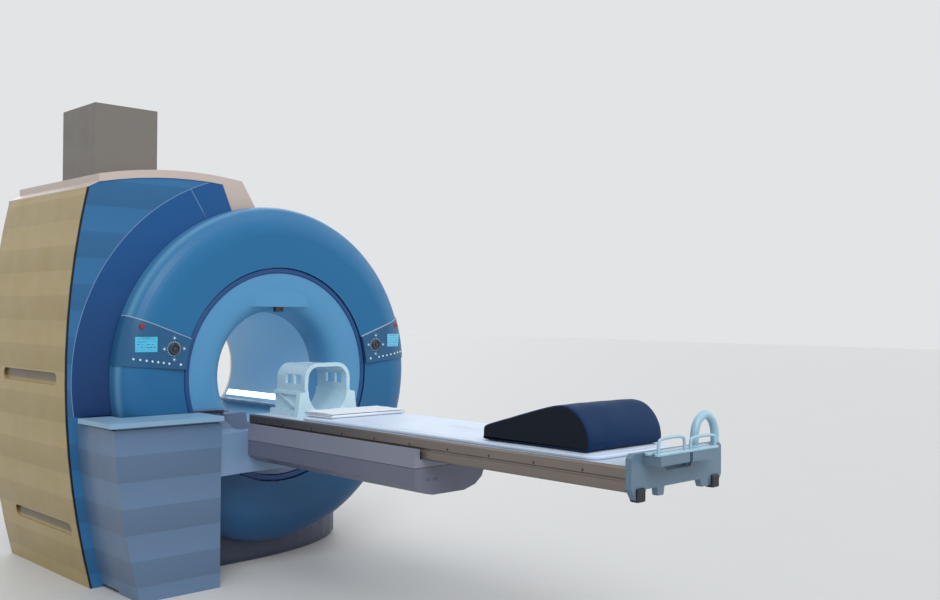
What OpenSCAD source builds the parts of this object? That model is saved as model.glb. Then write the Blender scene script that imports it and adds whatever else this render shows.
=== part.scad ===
// Wide-bore magnetic resonance scanner with a cantilevered patient table.
// Origin on the floor under the isocentre, +Z up, bore along Y, table towards -Y.

/* [Bore] */
// Height of the bore axis above the floor
bore_height = 1060; // [1040:5:1090]
// Radius of the patient bore
bore_r = 350; // [345:1:352]
// Wall of the bore tube
bore_wall = 9; // [6:1:9]
// Front end of the straight bore
bore_front = 370; // [360:5:390]
// Rear end of the straight bore
bore_rear = 500; // [490:5:520]

/* [Front covers] */
// Radius of the round seam between funnel and ring
seam_r = 600; // [595:1:605]
// Outer radius of the ring cover
ring_r = 947; // [940:1:950]
// Distance of the seam from the isocentre
seam_y = 578; // [574:1:584]
// Bulge of the ring cover in front of the seam
ring_bulge = 20; // [16:1:22]
// Outer radius of the dark fairing behind the ring
fairing_r = 1127; // [1110:1:1140]
// Distance of the block front from the isocentre
block_front = 411; // [408:1:416]
// Distance of the rear covers from the isocentre
block_rear = 650; // [640:5:670]
// Thickness of the sheet covers
cover_t = 6; // [4:0.5:6]

/* [Magnet] */
// Outer radius of the vacuum vessel
vessel_r = 900; // [880:5:905]
// Radius of the warm bore of the vessel
warm_r = 456; // [454:1:460]
// Half length of the vacuum vessel
vessel_half = 490; // [480:5:490]
// Outer radius of the gradient coil
gradient_r = 446; // [440:1:448]

/* [Side block] */
// Half width of the block on the floor
block_foot_x = 1015; // [1010:1:1025]
// Width of the plinth to the right of the bore axis
plinth_x = 800; // [760:5:820]
// Height of the side panel above the bore axis
panel_over = 977; // [960:1:985]
// Bulge of the side panel
panel_bulge = 122; // [100:1:125]
// Thickness of the side panel
panel_t = 24; // [20:1:26]
// Height of the room ceiling, where the duct ends
duct_top = 2487; // [2300:1:2700]

/* [Lift cabinet] */
// Distance of the cabinet front from the isocentre
cab_front = 829; // [825:1:840]
// Distance of the cabinet right side from the bore axis
cab_right = 520; // [515:1:530]
// Width of the cabinet at its top
cab_w = 575; // [565:1:580]
// Height of the cabinet lid above the raised table
cab_over = 13; // [6:1:20]
// Wall of the cabinet
cab_t = 8; // [6:1:10]
// Travel of the table lift
lift_travel = 350; // [300:10:350]

/* [Table] */
// Depth of the raised table top below the bore axis
table_drop = 196; // [192:1:200]
// Half width over the side rails
rail_x = 294; // [290:1:300]
// Height of the side rails
rail_h = 92; // [85:1:95]
// Head end of the table, from the isocentre
table_head = 732; // [725:1:745]
// Foot end of the table, from the isocentre
table_foot = 3226; // [3000:1:3300]
// Half width of the sliding board
board_x = 268; // [255:1:270]
// Thickness of the mattress
mattress_t = 22; // [16:1:26]
// Length of the cantilever beam
beam_l = 1339; // [1200:1:1400]

/* [Consoles] */
// Diameter of the jog dial
dial_d = 62; // [56:1:64]
// Diameter of an arrow key
key_d = 28; // [24:1:30]
// Distance of the arrow keys from the dial
key_off = 56; // [52:1:60]
// Travel of an arrow key
key_travel = 2; // [1:0.5:3]
// Diameter of the stop button
stop_d = 26; // [22:1:30]
// Travel of the stop button
stop_travel = 4; // [3:0.5:5]

/* [Hidden] */

$fn = 96;
// Gap between pieces that pass each other
gap = 0.3;
// Far enough to cut right through anything here
far = 6000;

// Ring cover
ring_back = block_front + 44;
ring_front = seam_y + ring_bulge;
ring_shoulder_r = ring_r - 157;
ring_side_y = seam_y - 86;
// Depth of the ring cover in front of its corner, for a radius
function ring_depth(r) = r < ring_shoulder_r ? ring_front
    : ring_side_y + (ring_front - ring_side_y) * sqrt(1 - pow((r - ring_shoulder_r) / (ring_r - ring_shoulder_r), 2));

// Sector of the ring that each console takes, above the horizontal
console_low = 4.4;
console_high = 20.3;
console_proud = 6;
console_face = ring_front + console_proud;
console_depth = 44;

// Funnel
rim_out = seam_r - 3;
rim_in = seam_r - 32;
hood_z = 380;
hood_sphere_r = 1500;
hood_proud = 4;
// Squareness of the front mouth
mouth_power = 0.5;
ledge_z = bore_height - 216;
seam_rise = 41;
dish_y = seam_y - 128;
dish_r = bore_r + 22;

// Side block
panel_h = bore_height + panel_over;

// Table section, from the top down
table_z = bore_height - table_drop;
flange_t = 12;
flange_z = table_z - flange_t;
belly_z = table_z - 68;
rail_z = table_z - rail_h;
shelf_z = flange_z - gap;
shelf_in = 200;
board_head = table_head + 8;
board_foot = table_foot - 16;
mattress_z = table_z + gap;
mattress_top = mattress_z + mattress_t;

// Arm and beam
arm_z = table_z - 301;
arm_top = table_z - 83;
arm_front = cab_front - 17;
arm_rear = ring_front + 18;
beam_x = rail_x + 36;
beam_top = rail_z;
beam_cheek_z = table_z - 47;
beam_seam_z = table_z - 131;
beam_low = table_z - 255;
beam_foot = table_head + 46 + beam_l;

// Lift
cab_left = cab_right + cab_w;
cab_top = table_z + cab_over;
cab_foot_in = 145;
lid_t = 24;
lid_gap = 12;
shell_top = cab_top - lid_t - lid_gap;
column_x = cab_left - cab_foot_in - 18;
guide_x = column_x - 20;
spindle_x = guide_x - 32;
spindle_y = (arm_front + arm_rear) / 2;
spindle_r = 14;
motor_top = 130;
carriage_z = arm_z - 60;

// Consoles
dial_x = 668;
dial_z = bore_height + 156;
screen_x = 816;
screen_z = bore_height + 181;
screen_w = 112;
screen_h = 78;
screen_t = 4;
stop_x = 838;
stop_z = bore_height + 272;

// Depth of the console face at a point of the front view
function console_at(x, z) = ring_depth(norm([x, z - bore_height])) + console_proud;
screen_in = console_at(screen_x - screen_w / 2, screen_z);
screen_out = console_at(screen_x + screen_w / 2, screen_z);
screen_tilt = atan2(screen_in - screen_out, screen_w);
screen_y = (screen_in + screen_out) / 2;
stop_face = console_at(stop_x, stop_z);

// Revolves a profile of [radius, y] about the bore axis.
module along_bore() {
    translate([0, 0, bore_height]) rotate([-90, 0, 0]) rotate_extrude($fn = 240) children();
}

// Extrudes a front view of [x, z] from y0 to y1.
module from_front(y0, y1) {
    translate([0, y1, 0]) rotate([90, 0, 0]) linear_extrude(y1 - y0) children();
}

// Extrudes a side view of [y, z] from x0 to x1.
module from_side(x0, x1) {
    translate([x0, 0, 0]) rotate([90, 0, 90]) linear_extrude(x1 - x0) children();
}

// Extrudes a plan of [x, y] from z0 to z1.
module from_top(z0, z1) {
    translate([0, 0, z0]) linear_extrude(z1 - z0) children();
}

// Box between two corners.
module block(a, b) {
    translate(a) cube(b - a);
}

// Tube about the bore axis.
module bore_sleeve(inner, outer, y0, y1) {
    along_bore() polygon([[inner, y0], [outer, y0], [outer, y1], [inner, y1]]);
}

// Disc of the front view, centred on the bore axis.
module bore_disc(r) {
    translate([0, bore_height]) circle(r, $fn = 180);
}

// Sector of the front view between two angles, measured from +X upwards.
module bore_sector(a0, a1, r) {
    steps = 12;
    translate([0, bore_height])
        polygon(concat([[0, 0]], [for (i = [0:steps]) let (a = a0 + (a1 - a0) * i / steps) r * [cos(a), sin(a)]]));
}

// Quarter ellipse from the flat rim (t = 0) into the bore (t = 90), as [radius, y]; a power under 1 makes it squarer.
function bullnose(rim, rim_y, bore, bore_y, power = 1, steps = 16) =
    [for (i = [0:steps]) let (t = 90 * i / steps)
        [rim - (rim - bore) * pow(sin(t), power), bore_y + (rim_y - bore_y) * pow(cos(t), power)]];

// Same curve moved back by a wall, from the bore out to the rim.
function bullnose_back(rim, rim_y, bore, bore_y, wall, power = 1, steps = 16) =
    [for (i = [steps:-1:0]) let (t = 90 * i / steps)
        [rim - (rim - bore - wall) * pow(sin(t), power),
         bore_y + (rim_y - bore_y - sign(rim_y - bore_y) * wall) * pow(cos(t), power)]];

// Bulged outline of the side panel, x for a height z.
function panel_x(z) = -block_foot_x - 40 * z / panel_h - panel_bulge * (1 - pow(2 * z / panel_h - 1, 2));

// Arched top of the block.
arch_x = -479;
arch_z = panel_h + 135;
arch_bow = 0.00022;
function arch(x, lower = 0) = arch_z - lower - arch_bow * pow(x - arch_x, 2);
lid_edge = 42;
lid_left = panel_x(panel_h) + 62;
slant_top = -159;
slant_low = -58;
slant_foot = bore_height + sqrt(pow(ring_r - 17, 2) - pow(slant_low, 2)) + gap;
// Where the block covers end beside the round covers.
block_right = slant_low - 44;
foot_right = -500;
arch_points = [for (i = [0:8]) lid_left + (slant_top - lid_left) * i / 8];
side_points = [for (i = [0:12]) panel_h * i / 12];

function reversed(v) = [for (i = [len(v) - 1:-1:0]) v[i]];

// Front view of the block under its top cover.
module block_outline(inset = 0) {
    polygon(concat(
        [for (z = side_points) [panel_x(z) + inset, z]],
        [for (x = arch_points) [x, arch(x, lid_edge + gap)]],
        [[block_right, slant_foot], [block_right, bore_height], [foot_right, bore_height - 600], [foot_right, 0]]));
}

// Line of the top cover in the front view, from its left foot over the arch to the slant, set in by d.
lid_wall = 5;
function lid_line(d) = concat([[panel_x(panel_h), panel_h + gap + 1.1 * (lid_wall - d)],
    [lid_left + d, arch(lid_left, lid_edge) + 1.1 * (lid_wall - d) + 0.56 * d]],
    [for (x = arch_points) [x + (x == lid_left ? d : 0), arch(x, d)]],
    [[slant_low - 1.2 * d, slant_foot]]);

vessel_wall = 8;

module magnet_vessel() {
    wall = vessel_wall;
    head = 25;
    bore_t = 6;
    color("gainsboro") {
        bore_sleeve(vessel_r - wall, vessel_r, -vessel_half + head, vessel_half - head);
        bore_sleeve(warm_r, warm_r + bore_t, -vessel_half + head, vessel_half - head);
        for (s = [-1, 1])
            along_bore() polygon([[warm_r, s * (vessel_half - head)], [vessel_r, s * (vessel_half - head)],
                [vessel_r, s * (vessel_half - 10)], [vessel_r - 30, s * vessel_half],
                [warm_r, s * vessel_half]]);
    }
}

helium_in = warm_r + 44;
helium_out = vessel_r - 44;
helium_half = vessel_half - 60;
helium_wall = 6;

module helium_vessel() {
    head = 14;
    color("silver") {
        difference() {
            bore_sleeve(helium_in, helium_out, -helium_half, helium_half);
            bore_sleeve(helium_in + helium_wall, helium_out - helium_wall, -helium_half + head, helium_half - head);
        }
        // suspension studs that hold it inside the vacuum vessel
        for (s = [-1, 1], a = [45, 135, 225, 315])
            translate([0, s * (helium_half - 60), bore_height]) rotate([0, a, 0])
                translate([0, 0, helium_out - 2]) cylinder(h = vessel_r - vessel_wall - 2 * gap - helium_out + 2, d = 26);
    }
}

module main_coils() {
    former_in = helium_in + helium_wall + gap;
    former_out = former_in + 10;
    coil_t = 44;
    half = helium_half - 16;
    shield_out = helium_out - helium_wall - gap;
    color("peru") {
        bore_sleeve(former_in, former_out, -half, half);
        for (s = [-1, 1], c = [[60, 70], [190, 80], [330, 92]])
            bore_sleeve(former_out - 1, former_out + coil_t, s * c[0] - c[1] / 2, s * c[0] + c[1] / 2);
        for (s = [-1, 1])
            bore_sleeve(shield_out - 40, shield_out, s * 330 - 50, s * 330 + 50);
    }
}

module gradient_coil() {
    inner = bore_r + bore_wall + 14;
    front = -dish_y + 14;
    rear = bore_rear - 30;
    color("goldenrod") {
        bore_sleeve(inner, gradient_r, front, rear);
        // wedges that clamp it in the warm bore
        for (y = [front + 60, rear - 60], a = [45, 135, 225, 315])
            intersection() {
                bore_sleeve(gradient_r - 2, warm_r - gap, y - 40, y + 40);
                translate([0, 0, bore_height]) rotate([0, a, 0]) block([-45, y - 40, 0], [45, y + 40, far]);
            }
    }
}

module body_coil() {
    inner = bore_r + bore_wall + gap;
    outer = inner + 13;
    half = 250;
    ring_w = 30;
    strip_t = 0.7;
    color("darkorange") {
        bore_sleeve(inner, outer - strip_t, -400, 480);
        for (s = [-1, 1])
            bore_sleeve(outer - strip_t, outer, s * half - ring_w / 2, s * half + ring_w / 2);
    }
}

strip_h = 32;

// Where a light strip lies in the bore wall, on both sides.
module light_zone(clear = 0) {
    for (s = [-1, 1])
        block([s > 0 ? 250 : -bore_r - 20, -bore_front + 5 - clear, table_z + 2 - clear],
            [s > 0 ? bore_r + 20 : -250, bore_rear - 10 + clear, table_z + 2 + strip_h + clear]);
}

module bore_tube() {
    color("whitesmoke") difference() {
        bore_sleeve(bore_r, bore_r + bore_wall, -bore_front, bore_rear);
        intersection() {
            bore_sleeve(bore_r - 1, bore_r + 4, -far, far);
            light_zone(gap);
        }
    }
}

module bore_lights() {
    color("white") intersection() {
        bore_sleeve(bore_r + 0.5, bore_r + 4 - gap, -far, far);
        light_zone();
    }
}

module bore_rails() {
    color("white") for (s = [-1, 1])
        intersection() {
            bore_sleeve(100, bore_r - gap, -far, far);
            block([s > 0 ? shelf_in : -far, -bore_front + 2, shelf_z - 12],
                [s > 0 ? far : -shelf_in, bore_rear, shelf_z]);
        }
}

module front_funnel() {
    color("lightsteelblue") difference() {
        union() {
            along_bore() polygon(concat(bullnose(rim_in, -seam_y, bore_r, -bore_front, mouth_power),
                bullnose_back(rim_in - gap, -seam_y, bore_r, -bore_front, cover_t, mouth_power)));
            // hood over the bore mouth, cut level underneath
            intersection() {
                translate([0, hood_sphere_r - hood_proud - seam_y - 5, bore_height + hood_z + 120])
                    sphere(r = hood_sphere_r, $fn = 300);
                block([-230, -seam_y + 2, bore_height + hood_z], [230, -bore_front - 60, bore_height + hood_z + 150]);
                along_bore() polygon(concat([[0, -seam_y]],
                    bullnose(rim_in + cover_t / 2, -seam_y, bore_r + cover_t / 2, -bore_front, mouth_power),
                    [[0, -bore_front]]));
            }
        }
        below_seam(-gap);
    }
}

// Everything below the seam between the two funnel parts, which rises towards the front.
module below_seam(clear) {
    mouth = ledge_z + 4 - clear;
    rise = seam_rise / (seam_y - bore_front);
    reach = 60;
    from_side(-ring_r, ring_r) polygon([[reach - bore_front, 0], [reach - bore_front, mouth - reach * rise],
        [-seam_y - reach, mouth + seam_rise + reach * rise], [-seam_y - reach, 0]]);
}

// Passage for the table board, with stepped sides around its belly.
module board_passage() {
    inner = bore_r - 68;
    polygon([[-inner, far], [-inner, ledge_z], [-140, ledge_z], [-131, ledge_z - 56], [-80, ledge_z - 60],
        [-78, ledge_z - 106], [-38, ledge_z - 108], [-38, ledge_z - 140],
        [38, ledge_z - 140], [38, ledge_z - 108], [78, ledge_z - 106], [80, ledge_z - 60], [131, ledge_z - 56],
        [140, ledge_z], [inner, ledge_z], [inner, far]]);
}

module funnel_insert() {
    plate = 8;
    outer = rim_in - 5;
    color("aliceblue") intersection() {
        below_seam(gap);
        union() {
            difference() {
                along_bore() polygon([[30, -dish_y], [dish_r, -dish_y], [outer, -seam_y + 6],
                    [outer, -seam_y + 6 + plate], [dish_r + 4, -dish_y + plate], [30, -dish_y + plate]]);
                from_front(-far, 0) board_passage();
            }
            // soffit under the edge of the upper funnel
            difference() {
                along_bore() polygon(concat(bullnose(rim_in - 1, -seam_y + 1, bore_r, -bore_front, mouth_power),
                    [for (i = [0:1]) bullnose_back(rim_in, -seam_y, bore_r, -bore_front, cover_t, mouth_power)[i]],
                    [[dish_r + 4, -dish_y + plate], [outer, -seam_y + 6 + plate]]));
                below_seam(plate);
                from_front(-far, 0) board_passage();
            }
            // shelves that carry on to the bore rails
            for (s = [-1, 1]) intersection() {
                along_bore() polygon(concat([[10, -seam_y]],
                    bullnose(rim_in, -seam_y, bore_r - gap, -bore_front + gap, mouth_power),
                    [[10, -bore_front + gap]]));
                block([s > 0 ? 140 : -far, -dish_y + 1, ledge_z - plate], [s > 0 ? far : -140, -bore_front, ledge_z]);
            }
        }
    }
}

module front_rim() {
    color("steelblue") along_bore() polygon([[rim_in + gap, -seam_y], [rim_in + 6, -seam_y - 5],
        [rim_out - 6, -seam_y - 7], [rim_out, -seam_y - 1], [rim_out, -seam_y + 14], [rim_in + gap, -seam_y + 14]]);
}

// Outer face of the ring cover as [radius, y], from the seam to its back edge.
function ring_face(t, steps = 12) = concat(
    [[seam_r + 2, -seam_y - 8 + t], [(seam_r + ring_shoulder_r) / 2, -ring_front + 5 + t]],
    [for (i = [steps:-1:0]) let (a = 90 * i / steps)
        [ring_shoulder_r + (ring_r - t - ring_shoulder_r) * cos(a),
         -ring_side_y - (ring_front - t - ring_side_y) * sin(a)]],
    [[ring_r - t, -ring_back]]);

module console_sector(r, clear = 0) {
    pad = clear / 12;
    bore_sector(console_low - pad, console_high + pad, r);
    bore_sector(180 - console_high - pad, 180 - console_low + pad, r);
}

module front_ring() {
    color("steelblue") difference() {
        along_bore() polygon(concat(ring_face(0), reversed(ring_face(cover_t))));
        from_front(-far, -ring_side_y + 24) difference() {
            console_sector(far, gap);
            bore_disc(seam_r + 11);
        }
    }
}

// Outer face of a console as [radius, y], set back by t.
function console_line(t, steps = 12) = concat([[seam_r, -console_face + t]],
    [for (i = [steps:-1:0]) let (a = 90 * i / steps)
        [ring_shoulder_r + (ring_r + console_proud - t - ring_shoulder_r) * cos(a),
         -ring_side_y - (console_face - t - ring_side_y) * sin(a)]],
    [[ring_r + console_proud - t, -ring_side_y + 22]]);

// Body of one console, on the side s.
module console_body(s) {
    bevel = 5;
    difference() {
        intersection() {
            along_bore() polygon(concat(console_line(0), [[ring_r - 10, -ring_side_y + 22],
                [ring_r - 12, -ring_side_y - 20], [ring_shoulder_r, -console_face + console_depth],
                [seam_r + 12, -console_face + console_depth], [seam_r + 12, -console_face + 12],
                [seam_r, -console_face + 12]]));
            from_front(-far, 0) bore_sector(s > 0 ? console_low : 180 - console_high,
                s > 0 ? console_high : 180 - console_low, far);
        }
        console_hole(s * dial_x, dial_z, console_face, dial_d, 16);
        for (k = [[0, key_off], [0, -key_off], [key_off, 0], [-key_off, 0]])
            console_hole(s * dial_x + k[0], dial_z + k[1], console_face, key_d, 8 + key_travel);
        console_hole(s * stop_x, stop_z, stop_face, stop_d, 10 + stop_travel);
        screen_shape(s, gap, 30);
        // bevel along the upper edge
        translate([0, -console_face, bore_height]) rotate([0, s > 0 ? -console_high : console_high - 180, 0])
            rotate([45, 0, 0]) block([0, -bevel, -bevel], [far, bevel, bevel]);
    }
    // row of membrane keys under the screen, and the home key
    for (i = [0:6]) let (x = 695 + 31 * i, z = bore_height + 80 + 4.6 * i)
        console_stud(s * x, z, console_at(x, z), 15, 1.5);
    console_stud(s * 630, bore_height + 73, console_face, 17, 1.5);
}

module console_hole(x, z, face, d, depth) {
    translate([x, -face + depth + gap, z]) rotate([90, 0, 0]) cylinder(h = depth + 20, d = d + 2 * gap);
}

module console_stud(x, z, face, d, proud) {
    translate([x, -face + 3, z]) rotate([90, 0, 0]) cylinder(h = proud + 3, d = d);
}

// Flat window that leans back with the ring; ahead is how far it reaches out of the console.
module screen_shape(s, clear, ahead) {
    translate([s * screen_x, -screen_y, screen_z]) rotate([0, 0, s * screen_tilt])
        block([-screen_w / 2 - clear, -ahead, -screen_h / 2 - clear],
            [screen_w / 2 + clear, screen_t + clear, screen_h / 2 + clear]);
}

module console_left() {
    color("cadetblue") console_body(-1);
}

module console_right() {
    color("cadetblue") console_body(1);
}

module console_screens() {
    color("paleturquoise") for (s = [-1, 1]) screen_shape(s, 0, 0);
}

// Round button seated in the console, proud of its face.
module button(x, z, face, d, depth, proud) {
    translate([x, -face + depth, z]) rotate([90, 0, 0])
        rotate_extrude() polygon([[0, 0], [d / 2, 0], [d / 2, depth + proud - 1], [d / 2 - 1, depth + proud],
            [0, depth + proud]]);
}

// Jog dial with a raised grip ring and a finger dimple.
module dial(s) {
    r = dial_d / 2;
    depth = 16;
    color("darkslategray") difference() {
        translate([s * dial_x, -console_face + depth, dial_z]) rotate([90, 0, 0])
            rotate_extrude() polygon([[0, 0], [r, 0], [r, depth + 9], [r - 3, depth + 13], [r - 9, depth + 13],
                [r - 12, depth + 8], [8, depth + 8], [7, depth + 12], [0, depth + 12]]);
        translate([s * dial_x, -console_face - 12, dial_z + r - 6]) sphere(r = 5, $fn = 48);
    }
}

module arrow_key(s, dx, dz) {
    color("white") button(s * dial_x + dx, dial_z + dz, console_face, key_d, 8, 3);
}

module stop_button(s) {
    color("firebrick") button(s * stop_x, stop_z, stop_face, stop_d, 10, 8);
}

rear_rim = 480;

module rear_funnel() {
    rim_y = block_rear - 18;
    color("lightsteelblue") along_bore() polygon(concat(bullnose(rear_rim, rim_y, bore_r, bore_rear),
        bullnose_back(rear_rim, rim_y, bore_r, bore_rear, cover_t)));
}

// Front edge of the rear ring cover, where the drum cover ends
rear_seam = block_rear - 90;

module rear_ring() {
    inner = rear_rim + gap;
    face = block_rear - 10;
    color("whitesmoke") along_bore() polygon([[inner, face - 8], [inner + 60, face], [ring_r - 77, face],
        [ring_r - 32, face - 18], [ring_r - 17, face - 50], [ring_r - 17, rear_seam],
        [ring_r - 23, rear_seam], [ring_r - 23, face - 51], [ring_r - 38, face - 23],
        [ring_r - 80, face - cover_t], [inner + 60, face - cover_t], [inner, face - 14]]);
}

fairing_in = ring_r - 17;
// Lean of the fairing's upper end from the vertical; the lift cabinet hides its lower end.
fairing_lean = 15;

// Front view of the sector that the fairing takes.
module fairing_wedge(clear = 0) {
    reach = 1400;
    polygon([[0, bore_height], [-reach * tan(fairing_lean), bore_height + reach],
        [-2 * reach, bore_height + reach], [-2 * reach, cab_top + gap - clear], [0, cab_top + gap - clear]]);
}

module drum_fairing() {
    back = -block_front;
    front = -ring_back + gap;
    color("royalblue") difference() {
        intersection() {
            along_bore() polygon([[fairing_in, front], [fairing_r, back],
                [fairing_r, back + cover_t], [fairing_in, front + cover_t]]);
            from_front(-far, 0) fairing_wedge();
            from_front(-far, 0) polygon(concat([[-far, 0], [-far, panel_h]],
                [for (x = arch_points) [x, arch(x, lid_edge + gap)]], [[0, arch(0, lid_edge)], [0, 0]]));
        }
        // seam groove near the top
        translate([0, 0, bore_height]) rotate([0, -25, 0]) block([-1.5, -far, 0], [1.5, front + 14, far]);
    }
}

module shoulder_panel() {
    front = -block_front;
    back = front + cover_t;
    color("cornflowerblue") difference() {
        from_front(front, back) block_outline(2);
        bore_sleeve(0, ring_r - 12, front - 1, back + 1);
        intersection() {
            bore_sleeve(0, fairing_r + gap, front - 1, back + 1);
            from_front(front - 2, back + 2) fairing_wedge(gap);
        }
        // beside the fairing the top cover comes down to the ring
        from_front(front - 1, back + 1) polygon([[0, bore_height],
            [-1400 * tan(fairing_lean + 0.1), bore_height + 1400], [0, bore_height + 1400]]);
    }
}

grip_front = 110 - block_front;
grip_rear = block_rear - 270;

// Stretched hand grip, cut into the side panel.
module grip(z, y0, y1) {
    h = 64;
    depth = 14;
    x = panel_x(z);
    translate([x, 0, z]) hull() for (y = [y0, y1])
        translate([0, y, 0]) rotate([0, 90, 0]) translate([0, 0, -30]) cylinder(h = 30 + depth, d = h, $fn = 32);
}

module side_panel() {
    color("khaki") difference() {
        from_front(-block_front + cover_t + gap, block_rear - cover_t - gap) polygon(concat(
            [for (z = side_points) [panel_x(z), z]],
            [for (z = reversed(side_points)) [panel_x(z) + panel_t, z]]));
        grip(panel_h - 975, grip_front + 25, grip_rear);
        grip(295, grip_front, grip_rear);
    }
}

module magnet_cover() {
    outer = ring_r - 17;
    color("whitesmoke") difference() {
        bore_sleeve(outer - cover_t, outer, -ring_back + 2, rear_seam - gap);
        from_front(-far, far) {
            translate([-far, bore_height]) square([far + block_right - gap, far]);
            translate([-far, -far]) square([far + foot_right + 3, far + bore_height + 1]);
        }
        // openings for the feet of the magnet
        for (x = [-foot_x, foot_x], y = [-foot_y, foot_y]) block([x - 66, y - 66, 0], [x + 66, y + 66, bore_height]);
    }
}

module top_cover() {
    front = -block_front - 4;
    // face under the arch
    module skirt() {
        polygon(concat([for (x = arch_points) [x, arch(x, lid_edge)]], [for (x = reversed(arch_points)) [x, arch(x)]]));
    }
    // face between the end of the fairing and the slant
    module cheek() {
        top = arch_z - 60 - bore_height;
        lean = tan(fairing_lean - 0.1);
        difference() {
            polygon([[0, bore_height], [-top * lean, bore_height + top], [-top * lean, arch(-320, 20)],
                [slant_top, arch(slant_top)], [slant_low, slant_foot], [slant_low, bore_height]]);
            bore_disc(ring_r - 15);
        }
    }
    color("linen") difference() {
        union() {
            from_front(front, front + lid_wall) {
                skirt();
                cheek();
            }
            from_front(front + lid_wall, block_rear + 4) polygon(concat(lid_line(0), reversed(lid_line(lid_wall))));
            from_front(block_rear + gap, block_rear + 4) skirt();
        }
        duct_zone(gap);
    }
}

duct_x = -990;
duct_w = 345;
duct_y = -350;
duct_d = 400;

module duct_zone(clear) {
    block([duct_x - clear, duct_y - clear, 1900], [duct_x + duct_w + clear, duct_y + duct_d + clear, far]);
}

module duct_cover() {
    wall = 8;
    foot = arch(duct_x, 30);
    color("gainsboro") difference() {
        block([duct_x, duct_y, foot], [duct_x + duct_w, duct_y + duct_d, duct_top]);
        block([duct_x + wall, duct_y + wall, 0], [duct_x + duct_w - wall, duct_y + duct_d - wall, far]);
    }
}

pipe_r = 90;
pipe_x = duct_x + duct_w - pipe_r - 15;
pipe_y = duct_y + duct_d / 2;

module quench_pipe() {
    foot = bore_height + 300;
    color("silver") difference() {
        translate([pipe_x, pipe_y, foot]) cylinder(h = duct_top - foot, r = pipe_r);
        translate([pipe_x, pipe_y, foot - 1]) cylinder(h = far, r = pipe_r - 3);
        along_bore() polygon([[0, -far], [vessel_r + gap, -far], [vessel_r + gap, far], [0, far]]);
    }
}

module cold_head() {
    x = -420;
    y = 200;
    color("silver") difference() {
        union() {
            translate([x, y, bore_height + 600]) cylinder(h = 330, r = 95);
            translate([x, y, bore_height + 930]) cylinder(h = 30, r = 120);
            translate([x, y, bore_height + 960]) cylinder(h = 90, r = 60);
        }
        along_bore() polygon([[0, -far], [vessel_r + gap, -far], [vessel_r + gap, far], [0, far]]);
    }
}

module rear_panel() {
    color("whitesmoke") from_front(block_rear - cover_t, block_rear) difference() {
        block_outline(2);
        bore_disc(ring_r - 16);
    }
}

module plinth() {
    front = 460;
    steps = 10;
    toe = 24;
    wall = 14;
    centre = [-200, 90];
    module plan(d) {
        polygon(concat([[foot_right + gap, block_rear - d], [foot_right + gap, -front + d]],
            [for (i = [0:steps]) let (a = 90 * i / steps)
                [centre[0] + (plinth_x - centre[0] - d) * sin(a), centre[1] - (front + centre[1] - d) * cos(a)]],
            [[plinth_x - d, block_rear - d]]));
    }
    color("slategray") difference() {
        union() {
            from_top(toe, bore_height) plan(0);
            from_top(0, toe) plan(18);
        }
        difference() {
            from_top(-1, far) plan(18 + wall);
            block([foot_right, -far, -far], [foot_right + wall, far, far]);
        }
        along_bore() polygon([[0, -ring_back + gap], [ring_r - 17 + gap, -ring_back + gap], [ring_r - 17 + gap, far], [0, far]]);
        bore_sleeve(0, ring_r + gap, -far, -ring_back + gap);
    }
}

foot_x = 360;
foot_y = 215;
anchor_y = foot_y + 58;

module magnet_feet() {
    base_t = 20;
    half = 60;
    color("dimgray") for (x = [-foot_x, foot_x], s = [-1, 1]) difference() {
        union() {
            block([x - 80, s * foot_y - 80, 0], [x + 80, s * foot_y + 80, base_t]);
            block([x - half, s * (foot_y - 12) - 48, base_t], [x + half, s * (foot_y - 12) + 48, bore_height - 600]);
        }
        translate([x, s * anchor_y, -1]) cylinder(h = base_t + 2, d = 22);
        along_bore() polygon([[0, -far], [vessel_r + gap, -far], [vessel_r + gap, far], [0, far]]);
    }
}

module laser_window() {
    z = bore_height + hood_z;
    color("black") difference() {
        block([-26, -seam_y + 12, z - 28], [26, -seam_y + 34, z - gap]);
        // slit that the light leaves by
        block([-18, -seam_y + 2, z - 18], [18, -seam_y + 18, z - 10]);
    }
}

// Front view of the cabinet, tapered towards the floor on its left.
module cabinet_outline(inset = 0) {
    steps = 10;
    polygon(concat([[-cab_right - inset, 0], [-cab_right - inset, shell_top]],
        [for (i = [0:steps]) let (z = shell_top * (1 - i / steps))
            [-cab_left + inset + cab_foot_in * pow((cab_top - z) / cab_top, 1.6), z]]));
}

// Plan of the cabinet, stepped back around the ring cover.
module cabinet_plan(inset = 0) {
    step_x = -ring_r - 8;
    polygon([[-far, -cab_front + inset], [far, -cab_front + inset], [far, -ring_front - 6 - inset],
        [step_x - inset, -ring_front - 6 - inset], [step_x - inset, -block_front - gap - inset],
        [-far, -block_front - gap - inset]]);
}

module lift_cabinet() {
    module body(inset, z0, z1) {
        intersection() {
            from_front(-far, far) cabinet_outline(inset);
            from_top(z0, z1) cabinet_plan(inset);
        }
    }
    color("lightgray") difference() {
        body(0, 0, shell_top);
        body(cab_t, cab_t, far);
        // slot that the arm travels in
        block([-cab_right - 50, -arm_front - 5, arm_z - lift_travel - 12],
            [-cab_right + 50, -arm_rear + 4, arm_top + 14]);
    }
}

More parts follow.
